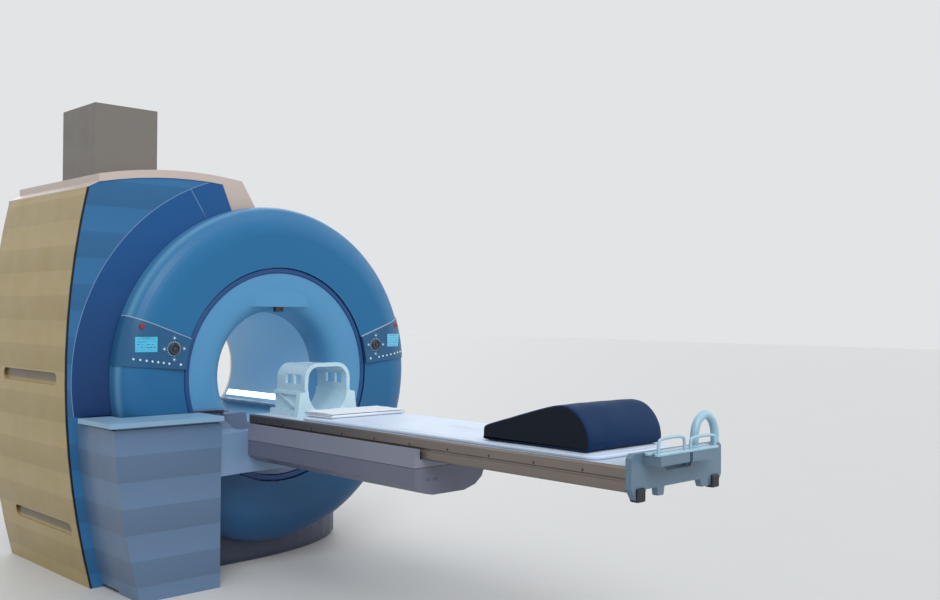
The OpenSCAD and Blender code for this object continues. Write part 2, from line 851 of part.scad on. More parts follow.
module cabinet_lid() {
    over = 28;
    recess = 14;
    color("whitesmoke") {
        from_top(cab_top - lid_t, cab_top) polygon([
            [-cab_left - over, -cab_front - over], [-cab_right, -cab_front - over],
            [-cab_right, -ring_front - 6], [-ring_r - 8, -ring_front - 6],
            [-ring_r - 8, -block_front - 80], [-cab_left - over, -block_front - 80]]);
        // neck in the shadow gap
        from_top(shell_top, cab_top - lid_t) polygon([
            [-cab_left + recess + 8, -cab_front + recess], [-cab_right - recess, -cab_front + recess],
            [-cab_right - recess, -ring_front - 6 - recess], [-ring_r - 8 - recess, -ring_front - 6 - recess],
            [-ring_r - 8 - recess, -block_front - 100], [-cab_left + recess + 8, -block_front - 100]]);
    }
}

guide_w = 24;
guide_y = [spindle_y - 62, spindle_y + 62];

module lift_column() {
    color("silver") difference() {
        union() {
            block([-column_x, -arm_front + 6, cab_t], [-guide_x, -arm_rear - 6, shell_top - gap]);
            for (y = guide_y)
                block([-guide_x - 1, -y - guide_w / 2, cab_t], [-guide_x + 20, -y + guide_w / 2, shell_top - gap]);
            // upper bearing plate
            block([-guide_x - 1, -spindle_y - 40, shell_top - 12], [-spindle_x + 30, -spindle_y + 40, shell_top - gap]);
        }
        translate([-spindle_x, -spindle_y, 0]) cylinder(h = far, r = spindle_r + gap);
    }
}

module lift_motor() {
    color("dimgray") difference() {
        union() {
            translate([-spindle_x, -spindle_y, cab_t + gap]) cylinder(h = motor_top - cab_t - gap, r = 30);
            block([-spindle_x - 31, -spindle_y - 36, cab_t + gap], [-spindle_x + 90, -spindle_y + 36, cab_t + 62]);
        }
        translate([-spindle_x, -spindle_y, motor_top - 30]) cylinder(h = far, r = spindle_r + gap);
    }
}

module lift_spindle() {
    color("lightgray") translate([-spindle_x, -spindle_y, motor_top - 30 + gap])
        cylinder(h = shell_top - 2 * gap - motor_top + 30, r = spindle_r);
}

module lift_carriage() {
    plate = 26;
    plate_x = guide_x - 22;
    color("gray") difference() {
        union() {
            block([-plate_x, -arm_front + 4, carriage_z], [-plate_x + plate, -arm_rear - 4, arm_top - gap]);
            for (y = guide_y, z = [carriage_z, arm_top - 70])
                block([-guide_x + 3, -y - guide_w / 2 - 14, z], [-plate_x + 1, -y + guide_w / 2 + 14, z + 64]);
            // nut block
            block([-spindle_x - 24, -spindle_y - 26, carriage_z], [-plate_x + plate, -spindle_y + 26, carriage_z + 70]);
        }
        for (y = guide_y)
            block([-guide_x - 2, -y - guide_w / 2 - gap, 0], [-guide_x + 20 + gap, -y + guide_w / 2 + gap, far]);
        translate([-spindle_x, -spindle_y, 0]) cylinder(h = far, r = spindle_r + gap);
    }
}

arm_root = guide_x - 22 - 26;
arm_end = 100;

module lift_arm() {
    wall = 10;
    module plan(d) {
        polygon([[-arm_root + d, -arm_front + d], [-cab_right, -arm_front + d], [-beam_x, -arm_front + 34 + d],
            [arm_end - d, -arm_front + 52 + d], [arm_end - d, -arm_rear - 12 - d],
            [-beam_x, -arm_rear - d], [-arm_root + d, -arm_rear - d]]);
    }
    color("lightsteelblue") difference() {
        from_top(arm_z, arm_top) plan(0);
        from_top(arm_z + wall, arm_top - wall - 10) plan(wall);
        // seat under the table frame
        block([-beam_x + gap, -far, beam_top - gap], [far, far, far]);
    }
}

// Front view of the cantilever beam, with a rounded keel.
module beam_section() {
    keel = 20;
    polygon([[-beam_x, beam_low + 47], [-beam_x, beam_cheek_z], [-beam_x + 30, beam_cheek_z],
        [-beam_x + 30, beam_top - gap], [arm_end, beam_top - gap], [arm_end, beam_low + 96],
        [arm_end - 18, beam_low + 52], [arm_end - 60, beam_low + keel], [arm_end - 130, beam_low],
        [-beam_x + 106, beam_low], [-beam_x + 60, beam_low + 10]]);
}

beam_head = arm_front - 34;

module table_beam() {
    wall = 8;
    color("gainsboro") difference() {
        from_front(-beam_foot, -beam_head) intersection() {
            beam_section();
            translate([-far, beam_seam_z + 2]) square([2 * far, far]);
        }
        from_front(-beam_foot + wall, -beam_head - wall) translate([-beam_x + wall, beam_seam_z - 10])
            square([beam_x + arm_end - 2 * wall, beam_top - beam_seam_z + 10 - wall - 2]);
        // clears the swept front of the arm
        from_top(0, far) polygon([[-beam_x - 1, -arm_front + 34], [-beam_x, -arm_front + 34 - gap],
            [arm_end, -arm_front + 52 - gap], [far, -arm_front + 52 - gap], [far, far], [-beam_x - 1, far]]);
    }
}

module beam_cover() {
    wall = 5;
    color("silver") difference() {
        from_front(-beam_foot, -beam_head) intersection() {
            beam_section();
            translate([-far, 0]) square([2 * far, beam_seam_z]);
        }
        from_front(-beam_foot + wall, -beam_head - wall) translate([-beam_x + 64, beam_low + 26])
            square([beam_x + arm_end - 146, far]);
        // slots in the end face
        for (i = [0, 1])
            block([-beam_x + 60 + 46 * i, -beam_foot - 1, beam_low + 66], [-beam_x + 84 + 46 * i, -beam_foot + 3, beam_low + 76]);
    }
}

member_t = 10;
member_in = 60;

module side_rails() {
    color("rosybrown") {
        for (s = [-1, 1]) {
            mirror([s > 0 ? 1 : 0, 0, 0]) from_front(-table_foot, -table_head) polygon([
                [-rail_x, rail_z + 6], [-rail_x, rail_z + 36], [-rail_x + 5, rail_z + 41], [-rail_x + 5, rail_z + 47],
                [-rail_x, rail_z + 52], [-rail_x, table_z - 6], [-rail_x + 6, table_z],
                [-board_x - 4, table_z], [-board_x - 4, shelf_z], [-shelf_in, shelf_z],
                [-shelf_in, shelf_z - 10], [-rail_x + 14, shelf_z - 10], [-rail_x + 14, rail_z + 10],
                [-rail_x + 44, rail_z + 10], [-rail_x + 44, rail_z], [-rail_x + 6, rail_z]]);
        }
        // cross members under the board
        for (i = [0:6]) let (y = -table_head - member_in - (table_foot - table_head - 2 * member_in) * i / 6)
            block([-rail_x + 43, y - 34, rail_z], [rail_x - 43, y + 34, rail_z + member_t]);
    }
}

pulley_r = 20;
pulley_x = 168;
pulley_y = table_head + member_in;
pulley_z = rail_z + member_t + pulley_r + 2;

module belt_drive() {
    foot = rail_z + member_t + gap;
    // motor and bearing blocks of the toothed belt that pulls the board
    color("dimgray") difference() {
        union() {
            block([pulley_x - 24, -pulley_y - 32, foot], [pulley_x - 14, -pulley_y + 32, pulley_z + 18]);
            block([pulley_x + 14, -pulley_y - 32, foot], [pulley_x + 78, -pulley_y + 32, pulley_z + 18]);
        }
        translate([0, -pulley_y, pulley_z]) rotate([0, 90, 0]) cylinder(h = far, r = 6 + gap, center = true);
    }
}

module belt_pulley() {
    color("silver") translate([pulley_x, -pulley_y, pulley_z]) rotate([0, 90, 0]) {
        cylinder(h = 24, r = pulley_r, center = true);
        cylinder(h = 46, r = 6, center = true);
    }
}

module table_board() {
    color("whitesmoke") from_front(-board_foot, -board_head) polygon([
        [-board_x, flange_z + 3], [-board_x, table_z - 2], [-board_x + 3, table_z], [board_x - 3, table_z],
        [board_x, table_z - 2], [board_x, flange_z + 3], [board_x - 3, flange_z], [130, flange_z],
        [118, flange_z - 40], [94, belly_z], [-94, belly_z], [-118, flange_z - 40], [-130, flange_z],
        [-board_x + 3, flange_z]]);
}

// Head coil, from the isocentre
coil_l = 285;
coil_y = table_head + coil_l / 2 + 16;
coil_foot = coil_y + coil_l / 2;

mattress_x = board_x - 6;
mattress_head = coil_foot + 112;
mattress_foot = table_foot - 166;

module mattress() {
    r = 60;
    color("lightcyan") hull() for (x = [-mattress_x + r, mattress_x - r], y = [-mattress_foot + r, -mattress_head - r])
        translate([x, y, mattress_z]) {
            cylinder(h = mattress_t - 6, r = r, $fn = 32);
            cylinder(h = mattress_t, r = r - 6, $fn = 32);
        }
}

coil_z = table_z + gap;
coil_r = 140;
coil_axis = coil_z + 131;
coil_wall = 14;
// Foot end of the head coil, where the head goes in
coil_y0 = -coil_foot;
coil_y1 = coil_y0 + coil_l;

// Head coil, lower half with a cradle for the head.
module head_coil_base() {
    side = coil_r + 4;
    color("white") difference() {
        union() {
            from_front(coil_y0, coil_y1) polygon([[-side, coil_z], [-side, coil_axis], [side, coil_axis], [side, coil_z]]);
            // tray and rail along each side
            for (s = [-1, 1]) {
                block([s * 160 - 20, coil_y0 + 6, coil_z], [s * 160 + 20, coil_y1 - 6, coil_z + 30]);
                block([s * 150 - 8, coil_y0 + 6, coil_axis - 22], [s * 150 + 8, coil_y1 - 6, coil_axis - 6]);
                // slanted brace between them
                from_side(s * 150 - 7, s * 150 + 7) polygon([[coil_y1 - 30, coil_axis - 14], [coil_y1 - 54, coil_axis - 14],
                    [coil_y0 + 30, coil_z + 20], [coil_y0 + 54, coil_z + 20]]);
                // wing beside the mouth
                from_front(coil_y0, coil_y0 + 34) polygon([[s * (side - 4), coil_z], [s * (side - 4), coil_axis - 4],
                    [s * (side + 34), coil_axis - 12], [s * (side + 50), coil_z]]);
            }
            // neck rest
            block([-110, coil_y0 - 56, coil_z], [110, coil_y0 + 1, coil_z + 34]);
        }
        translate([0, 0, coil_axis - bore_height]) bore_sleeve(0, coil_r - coil_wall, -far, far);
    }
}

// Front view of the dome, set in by d: upright sides and a flat roof with round corners.
module dome_outline(d) {
    corner = 78;
    side = [for (i = [0:8]) let (a = 90 * i / 8)
        [coil_r - corner + (corner - d) * cos(a), coil_axis + coil_r - corner + (corner - d) * sin(a)]];
    polygon(concat([[coil_r - d, coil_axis + gap]], side,
        [for (p = reversed(side)) [-p[0], p[1]]], [[d - coil_r, coil_axis + gap]]));
}

module head_coil_dome() {
    color("lightblue") difference() {
        union() {
            from_front(coil_y0 + 8, coil_y1 - 12) difference() {
                dome_outline(0);
                dome_outline(coil_wall);
            }
            // hoop around the mouth
            from_front(coil_y0 + 4, coil_y0 + 26) difference() {
                dome_outline(-7);
                dome_outline(coil_wall);
            }
        }
        // windows in the sides and the roof
        block([-far, coil_y0 + 52, coil_axis + 34], [far, coil_y0 + 112, coil_axis + 84]);
        block([-far, coil_y0 + 132, coil_axis + 34], [far, coil_y0 + 192, coil_axis + 84]);
        block([-48, coil_y0 + 60, coil_axis + 100], [48, coil_y1 - 70, far]);
        // clears the cradle, so that the dome keeps its wall at the foot
        block([-far, -far, 0], [far, far, coil_axis + gap]);
    }
}

wedge_l = 572;
wedge_head = mattress_foot - 48 - wedge_l;
wedge_x = 235;
wedge_z = mattress_top + gap;

module knee_wedge() {
    color("midnightblue") from_side(-wedge_x, wedge_x) polygon([[-wedge_head, wedge_z], [-wedge_head, wedge_z + 50],
        [-wedge_head - 16, wedge_z + 66], [-wedge_head - 380, wedge_z + 170], [-wedge_head - 430, wedge_z + 174],
        [-wedge_head - 492, wedge_z + 156], [-wedge_head - 540, wedge_z + 118], [-wedge_head - 566, wedge_z + 72],
        [-wedge_head - wedge_l, wedge_z + 30], [-wedge_head - wedge_l + 12, wedge_z]]);
}

module folded_pad() {
    color("white") hull() for (x = [-200, 200], y = [-mattress_head - 210, -mattress_head - 40])
        translate([x, y, mattress_top + gap]) {
            cylinder(h = 20, r = 34, $fn = 32);
            cylinder(h = 28, r = 26, $fn = 32);
        }
}

module foot_bracket() {
    y = -table_foot - gap;
    plate = 26;
    rise = 48;
    leg = rail_z - 34;
    color("lightsteelblue") {
        from_front(y - plate, y) difference() {
            polygon([[-rail_x, rail_z + 12], [-rail_x, table_z + rise - 16], [-rail_x + 16, table_z + rise],
                [rail_x - 16, table_z + rise], [rail_x, table_z + rise - 16], [rail_x, rail_z + 12],
                [rail_x - 31, leg], [rail_x - 71, leg], [rail_x - 90, rail_z + 6], [204, rail_z + 6],
                [204, leg + 8], [158, leg + 8], [144, rail_z + 6], [-90, rail_z + 6], [-96, leg + 8], [-130, leg + 8],
                [-136, rail_z + 6], [-204, rail_z + 6], [-rail_x + 71, leg], [-rail_x + 31, leg]]);
            // handle opening
            hull() for (x = [-70, 70]) translate([x, table_z - 12]) circle(18, $fn = 32);
        }
        // accessory trays on the panel's outer side
        for (i = [0, 1]) let (x0 = -230 + 200 * i, z0 = table_z + 8)
            difference() {
                block([x0, y - plate - 84, z0], [x0 + 180, y - plate + 1, z0 + 34]);
                block([x0 + 8, y - plate - 76, z0 + 8], [x0 + 172, y - plate - 8, z0 + 35]);
            }
    }
}

magnet_vessel();
helium_vessel();
main_coils();
gradient_coil();
body_coil();
bore_tube();
bore_rails();
bore_lights();
front_funnel();
funnel_insert();
front_rim();
front_ring();
rear_funnel();
rear_ring();
drum_fairing();
shoulder_panel();
side_panel();
magnet_cover();
top_cover();
duct_cover();
quench_pipe();
rear_panel();
plinth();
magnet_feet();
cold_head();
laser_window();
console_left();
console_right();
console_screens();
dial(-1);  // dial_left
arrow_key(-1, 0, key_off);  // key_left_up
arrow_key(-1, 0, -key_off);  // key_left_down
arrow_key(-1, key_off, 0);  // key_left_in
arrow_key(-1, -key_off, 0);  // key_left_out
stop_button(-1);  // stop_left
dial(1);  // dial_right
arrow_key(1, 0, key_off);  // key_right_up
arrow_key(1, 0, -key_off);  // key_right_down
arrow_key(1, -key_off, 0);  // key_right_in
arrow_key(1, key_off, 0);  // key_right_out
stop_button(1);  // stop_right
lift_cabinet();
cabinet_lid();
lift_column();
lift_motor();
lift_spindle();
lift_carriage();
lift_arm();
table_beam();
beam_cover();
side_rails();
belt_drive();
belt_pulley();
table_board();
mattress();
head_coil_base();
head_coil_dome();
knee_wedge();
folded_pad();
foot_bracket();
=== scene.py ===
"""Looks of the scanner: camera, light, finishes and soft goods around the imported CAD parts.

Lengths are in metres, in the part's own frame: x across, y from the foot end inwards, z up.
"""

from math import cos, exp, hypot, pi, radians, sin

import bmesh
import bpy
from mathutils import Matrix, Vector, noise


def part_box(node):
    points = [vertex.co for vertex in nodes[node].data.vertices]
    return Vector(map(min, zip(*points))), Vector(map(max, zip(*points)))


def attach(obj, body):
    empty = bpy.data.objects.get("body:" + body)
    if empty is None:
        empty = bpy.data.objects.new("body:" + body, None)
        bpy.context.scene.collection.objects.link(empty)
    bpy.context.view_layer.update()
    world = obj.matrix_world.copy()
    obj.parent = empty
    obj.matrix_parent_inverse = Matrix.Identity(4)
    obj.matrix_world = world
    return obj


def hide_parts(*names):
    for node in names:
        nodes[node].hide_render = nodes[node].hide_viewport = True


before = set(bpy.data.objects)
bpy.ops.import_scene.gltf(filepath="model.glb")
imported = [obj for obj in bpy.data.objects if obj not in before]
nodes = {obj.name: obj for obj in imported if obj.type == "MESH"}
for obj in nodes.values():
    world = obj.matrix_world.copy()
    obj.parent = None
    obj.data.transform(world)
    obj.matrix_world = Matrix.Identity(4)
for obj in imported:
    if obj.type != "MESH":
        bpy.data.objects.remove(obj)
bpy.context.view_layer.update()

BORE_Z = 1.060

# Outline of the bulged side panel, and the dark joint that the shoulder panel shows beside it
PANEL_H = 2.037
PANEL_FOOT_X = 1.015
PANEL_LEAN = 0.040
PANEL_BULGE = 0.122
PANEL_JOINT = 0.012

# Where a band starts and how high one is, on the lower covers and on the shoulder
LOW_BAND = (0.0765, 0.1284)
SHOULDER_BAND = (1.5475, 0.134)

# Hand grips in the side panel
GRIP_HEIGHTS = (1.062, 0.295)
GRIP_HALF_H = 0.034
GRIP_Y = (-0.345, 0.425)
GRIP_DEPTH = 0.004

# Round front: radius beyond which the fairing's outer edge gets a painted highlight, and the leaning seam
# across it
FAIRING_EDGE_R = 1.1225
FAIRING_SEAM_LEAN = radians(25)
FAIRING_SEAM_HALF = 0.0032

# Slope above which a console's upper edge gets a painted highlight, then what is printed on a console, with
# places as (distance from the middle, height)
CONSOLE_BEVEL_SLOPE = radians(19.98)
DIAL = (0.668, BORE_Z + 0.156)
DIAL_MARKS = 20
DIAL_MARK_R = (0.0345, 0.0385)
HOME_KEY = (0.630, BORE_Z + 0.073)
HOME_KEY_R = 0.0065
KEY_ROW = (0.695, BORE_Z + 0.080)
KEY_ROW_PITCH = 0.031
KEY_ROW_SLOPE = 4.6 / 31
KEY_ROW_REACH = (0.685, 0.895)
KEY_R = 0.0058
SCREEN_REACH = (0.770, 0.862)
SCREEN_HEIGHTS = (BORE_Z + 0.151, BORE_Z + 0.211)
SCREEN_ROWS_PER_M = 70.0

# Screw heads on the outer faces of the side rails
RAIL_FACE_X = 0.2925
SCREW_Y = -0.063
SCREW_PITCH = 0.247
SCREW_DROP = 0.032
SCREW_R = 0.0055


def srgb(r, g, b):
    """An 8-bit colour as linear RGBA."""
    def linear(v):
        v = v / 255
        return v / 12.92 if v <= 0.04045 else ((v + 0.055) / 1.055) ** 2.4
    return (linear(r), linear(g), linear(b), 1.0)


class Term:
    """An output of a finish's nodes. Arithmetic and comparisons on it add Math nodes."""

    def __init__(self, finish, socket):
        self.finish = finish
        self.socket = socket

    def __add__(self, other):
        return self.finish.maths("ADD", self, other)

    def __sub__(self, other):
        return self.finish.maths("SUBTRACT", self, other)

    def __rsub__(self, other):
        return self.finish.maths("SUBTRACT", other, self)

    def __mul__(self, other):
        return self.finish.maths("MULTIPLY", self, other)

    def __truediv__(self, other):
        return self.finish.maths("DIVIDE", self, other)

    def __gt__(self, other):
        return self.finish.maths("GREATER_THAN", self, other)

    def __lt__(self, other):
        return self.finish.maths("LESS_THAN", self, other)

    def __abs__(self):
        return self.finish.maths("ABSOLUTE", self)

    def larger(self, other):
        return self.finish.maths("MAXIMUM", self, other)

    def fraction(self):
        return self.finish.maths("FRACT", self)

    def within(self, limits):
        """1 between two limits, 0 elsewhere."""
        return (self > limits[0]) * (self < limits[1])

    def from_nearest(self, pitch):
        """How far past the nearest multiple of the pitch, or below 0 before it."""
        turn = self / pitch
        return (turn - self.finish.maths("ROUND", turn)) * pitch


def length(dx, dz):
    """Length of a step that goes dx across and dz up."""
    return dx.finish.maths("SQRT", dx * dx + dz * dz)


def angle(dx, dz):
    """Direction of such a step, from level upwards."""
    return dx.finish.maths("ARCTAN2", dz, dx)


class Finish:
    """One procedural material: a colour that varies, a roughness that varies, and fine relief."""

    def __init__(self, name, colour, rough=0.4, metal=0.0, coat=0.0, sheen=0.0, specular=0.5):
        self.material = bpy.data.materials.new(name)
        self.material.use_nodes = True
        self.material.diffuse_color = colour
        self.tree = self.material.node_tree
        self.shader = self.tree.nodes["Principled BSDF"]
        self.shader.inputs["Metallic"].default_value = metal
        self.shader.inputs["Coat Weight"].default_value = coat
        self.shader.inputs["Coat Roughness"].default_value = 0.12
        self.shader.inputs["Sheen Weight"].default_value = sheen
        self.shader.inputs["Specular IOR Level"].default_value = specular
        self.place = self.output(self.add("ShaderNodeTexCoord"), "Object")
        self.colour = self.output(self.add("ShaderNodeRGB"))
        self.colour.socket.default_value = colour
        self.rough = rough
        self.normal = None

    def add(self, kind, **settings):
        node = self.tree.nodes.new(kind)
        for key, value in settings.items():
            setattr(node, key, value)
        return node

    def output(self, node, name=0):
        return Term(self, node.outputs[name])

    def feed(self, socket, value):
        """Links a term to a socket, or sets the socket to a number or a colour."""
        if isinstance(value, Term):
            self.tree.links.new(value.socket, socket)
        else:
            socket.default_value = value

    def maths(self, operation, *values):
        node = self.add("ShaderNodeMath", operation=operation)
        for socket, value in zip(node.inputs, values):
            self.feed(socket, value)
        return self.output(node)

    def axes(self):
        """The place on the object as x, y and z."""
        node = self.add("ShaderNodeSeparateXYZ")
        self.feed(node.inputs[0], self.place)
        return [self.output(node, name) for name in "XYZ"]

    def ramp(self, value, stops, interpolation="LINEAR"):
        """Greys at places from 0 to 1."""
        node = self.add("ShaderNodeValToRGB")
        node.color_ramp.interpolation = interpolation
        marks = node.color_ramp.elements
        while len(marks) < len(stops):
            marks.new(0.5)
        for mark, (at, tone) in zip(marks, stops):
            mark.position = at
            mark.color = (tone, tone, tone, 1)
        self.feed(node.inputs[0], value)
        return self.output(node)

    def noise(self, scale, detail=3.0, stretch=(1, 1, 1), rough=0.5):
        mapping = self.add("ShaderNodeMapping")
        mapping.inputs["Scale"].default_value = stretch
        self.feed(mapping.inputs["Vector"], self.place)
        node = self.add("ShaderNodeTexNoise")
        node.inputs["Scale"].default_value = scale
        node.inputs["Detail"].default_value = detail
        node.inputs["Roughness"].default_value = rough
        self.feed(node.inputs["Vector"], self.output(mapping))
        return self.output(node, "Fac")

    def paint(self, share, colour, blend="MIX"):
        """Lays a colour over the finish, as far as the share from 0 to 1 says."""
        node = self.add("ShaderNodeMix", data_type="RGBA", blend_type=blend)
        self.feed(node.inputs[0], share)
        self.feed(node.inputs[6], self.colour)
        self.feed(node.inputs[7], colour)
        self.colour = self.output(node, 2)
        return self

    def vary(self, amount=0.05, scale=1.3):
        """Broad, faint unevenness of the colour."""
        tone = self.ramp(self.noise(scale, detail=4.0), [(0.3, 1 - amount), (0.7, 1.0)])
        return self.paint(1.0, tone, "MULTIPLY")

    def bands(self, dark, band, dark_first=False):
        """Level bands up the panel, light and dark by turns, each fading a little towards its top."""
        start, height = band
        fade = 0.3
        light_start = start + (height if dark_first else 0)
        turn = ((self.axes()[2] - light_start) / (2 * height)).fraction()
        shade = self.ramp(turn, [(0.0, 0.0), (0.492, fade), (0.5, 1.0), (0.992, 1 - fade), (1.0, 0.0)])
        return self.paint(shade, dark)

    def edge_highlight(self, light):
        """Painted highlight: paler edges where the surface is most sharply convex."""
        edge = self.output(self.add("ShaderNodeNewGeometry"), "Pointiness")
        return self.paint(self.ramp(edge, [(0.52, 0.0), (0.6, 0.5)]), light)

    def relief(self, height, distance, strength):
        """Adds a bump of that many metres."""
        bump = self.add("ShaderNodeBump")
        bump.inputs["Strength"].default_value = strength
        bump.inputs["Distance"].default_value = distance
        self.feed(bump.inputs["Height"], height)
        if self.normal:
            self.feed(bump.inputs["Normal"], self.normal)
        self.normal = self.output(bump)
        return self

    def orange_peel(self, scale=420.0):
        """Fine relief of a painted or moulded surface."""
        return self.relief(self.noise(scale, detail=2.0), 0.00004, 0.6)

    def smudges(self):
        """Patches that are a little rougher or smoother than the rest."""
        spread = 0.12
        low = max(self.rough - spread / 2, 0.02)
        patches = self.noise(6.0, detail=5.0, rough=0.6)
        self.feed(self.shader.inputs["Roughness"], self.ramp(patches, [(0.35, low), (0.65, low + spread)]))
        return self

    def brushed(self, stretch):
        """Fine lines along the axis that is stretched least."""
        spread = 0.075
        lines = self.noise(60.0, stretch=stretch)
        tone = self.ramp(lines, [(0.3, self.rough - spread), (0.7, self.rough + spread)])
        self.feed(self.shader.inputs["Roughness"], tone)
        return self.relief(lines, 0.00015, 0.5)

    def weave(self, pitch, depth):
        """Plain weave in plan, the same from every side."""
        x, y, z = [self.maths("SINE", axis * (2 * pi / pitch)) for axis in self.axes()]
        return self.relief(x * y + z * 0.5, depth, 0.7)

    def glow(self, colour, strength):
        self.feed(self.shader.inputs["Emission Color"], colour)
        self.shader.inputs["Emission Strength"].default_value = strength
        return self

    def done(self):
        self.feed(self.shader.inputs["Base Color"], self.colour)
        if not self.shader.inputs["Roughness"].is_linked:
            self.shader.inputs["Roughness"].default_value = self.rough
        if self.normal:
            self.feed(self.shader.inputs["Normal"], self.normal)
        return self.material


def moulded(name, colour, rough=0.38, coat=0.15, vary=0.05, specular=0.5):
    """Painted or moulded housing."""
    return Finish(name, colour, rough, coat=coat, specular=specular).vary(vary).orange_peel().smudges()


def metal(name, colour, rough, stretch=(1, 1, 1)):
    """Bare or anodised metal, brushed where the texture is stretched."""
    return Finish(name, colour, rough, metal=0.9).vary(0.08, 5.0).brushed(stretch)


def dress(finish, *names):
    """Gives CAD nodes a finish."""
    material = finish.done()
    for name in names:
        slots = nodes[name].data.materials
        slots.clear()
        slots.append(material)


def past_side(x, z):
    """How far a point lies inward of the bulged face of the side panel."""
    share = z / PANEL_H
    bow = share * 2 - 1
    outline = share * PANEL_LEAN + (1 - bow * bow) * PANEL_BULGE
    return x + outline + PANEL_FOOT_X


def side_finish():
    """Banded cream panel with painted shade in the upper part of each hand grip, the lower lip left bright.
    """
    finish = moulded("panel_cream", srgb(166, 146, 94)).bands(srgb(150, 130, 79), LOW_BAND, dark_first=True)
    x, y, z = finish.axes()
    sunk = (past_side(x, z) > GRIP_DEPTH) * y.within(GRIP_Y)
    for height in GRIP_HEIGHTS:
        offset = z - height
        shade = finish.ramp((offset + GRIP_HALF_H) / (2 * GRIP_HALF_H),
                            [(0.0, 0.0), (0.2, 0.15), (0.34, 0.75), (1.0, 0.95)])
        grip = sunk * offset.within((-GRIP_HALF_H, GRIP_HALF_H))
        # Painted shade inside the grip recess, darkest under its top
        finish.paint(grip * shade, srgb(74, 60, 36))
    return finish


def shoulder_finish():
    """Banded blue panel with the dark joint along the side panel."""
    finish = moulded("shoulder_blue", srgb(52, 110, 158), 0.4, coat=0.0, vary=0.04, specular=0.25)
    finish.bands(srgb(46, 96, 140), SHOULDER_BAND)
    x, _, z = finish.axes()
    return finish.paint(past_side(x, z) < PANEL_JOINT, srgb(24, 30, 44))


def console_finish():
    """Blue console with a painted highlight along its upper sloped edge, marks around the dial and white
    symbols on the membrane keys.
    """
    finish = moulded("console_blue", srgb(36, 88, 128), 0.34, coat=0.1, vary=0.03, specular=0.3)
    x, _, z = finish.axes()
    side = abs(x)
    # Painted highlight: the sloped upper edge is drawn paler
    bevel_highlight = (angle(side, z - BORE_Z) > CONSOLE_BEVEL_SLOPE) * 0.4
    from_dial = (side - DIAL[0], z - DIAL[1])
    dash = (angle(*from_dial) * (DIAL_MARKS / (2 * pi))).fraction()
    marks = length(*from_dial).within(DIAL_MARK_R) * dash.within((0.3, 0.7))
    along = side - KEY_ROW[0]
    row_z = along * KEY_ROW_SLOPE + KEY_ROW[1]
    row = (length(along.from_nearest(KEY_ROW_PITCH), z - row_z) < KEY_R) * side.within(KEY_ROW_REACH)
    home = length(side - HOME_KEY[0], z - HOME_KEY[1]) < HOME_KEY_R
    # The print and the painted highlight are laid on in one pale colour
    return finish.paint(marks.larger(row).larger(home).larger(bevel_highlight), srgb(206, 222, 230))


def screen_finish():
    """Lit cyan window with rows of short dark bars."""
    finish = Finish("display_cyan", srgb(58, 168, 204), 0.15, coat=0.6)
    x, _, z = finish.axes()
    row = finish.ramp((z * SCREEN_ROWS_PER_M).fraction(), [(0.55, 0.0), (0.56, 1.0)], "CONSTANT")
    dash = finish.ramp(finish.noise(90.0, 0.0, stretch=(3, 0, 1)), [(0.5, 0.0), (0.51, 1.0)], "CONSTANT")
    window = abs(x).within(SCREEN_REACH) * z.within(SCREEN_HEIGHTS)
    finish.paint(row * dash * window, srgb(40, 96, 128))
    return finish.glow(finish.colour, 0.25)


def fairing_finish():
    """Deep blue with painted shade darkening it towards the floor, a painted highlight along its outer edge
    and a pale line along its seam.
    """
    finish = moulded("fairing_blue", srgb(16, 76, 132), 0.4, coat=0.0, vary=0.04, specular=0.25)
    x, _, z = finish.axes()
    # Painted shade: darker towards the floor
    finish.paint(finish.ramp((z - 0.85) / 1.3, [(0.0, 1.0), (0.75, 0.0)]), srgb(22, 52, 98))
    # Painted highlight along the outer edge
    edge = (length(x, z - BORE_Z) > FAIRING_EDGE_R) * 0.6
    from_seam = x * cos(FAIRING_SEAM_LEAN) + (z - BORE_Z) * sin(FAIRING_SEAM_LEAN)
    seam = (abs(from_seam) < FAIRING_SEAM_HALF) * 0.45
    return finish.paint(edge.larger(seam), srgb(120, 152, 190))


def ring_finish():
    """Satin blue ring with a painted highlight along its outer corner, and painted shade darkening it
    towards the floor.
    """
    finish = moulded("ring_blue", srgb(30, 104, 152), coat=0.05, vary=0.04, specular=0.3)
    x, _, z = finish.axes()
    # The radius less 0.4, so that the ring's corner lies between a ramp's ends
    reach = length(x, z - BORE_Z) - 0.4
    # Painted highlight along the ring's outer corner
    corner = finish.ramp(reach, [(0.523, 0.0), (0.539, 0.4), (0.547, 0.15)])
    finish.paint(corner, srgb(130, 176, 204))
    # Painted shade: darker towards the floor
    return finish.paint(finish.ramp(z / 2.0, [(0.1, 1.0), (0.6, 0.0)]), srgb(32, 76, 118))


def rail_finish():
    """Anodised rail with a row of small dark screw heads along its outer face."""
    finish = metal("rail_metal", srgb(134, 124, 117), 0.36, stretch=(60, 1, 60))
    x, y, z = finish.axes()
    screw_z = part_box("side_rails")[1].z - SCREW_DROP
    from_screw = length((y - SCREW_Y).from_nearest(SCREW_PITCH), z - screw_z)
    return finish.paint((abs(x) > RAIL_FACE_X) * (from_screw < SCREW_R), srgb(62, 58, 58))


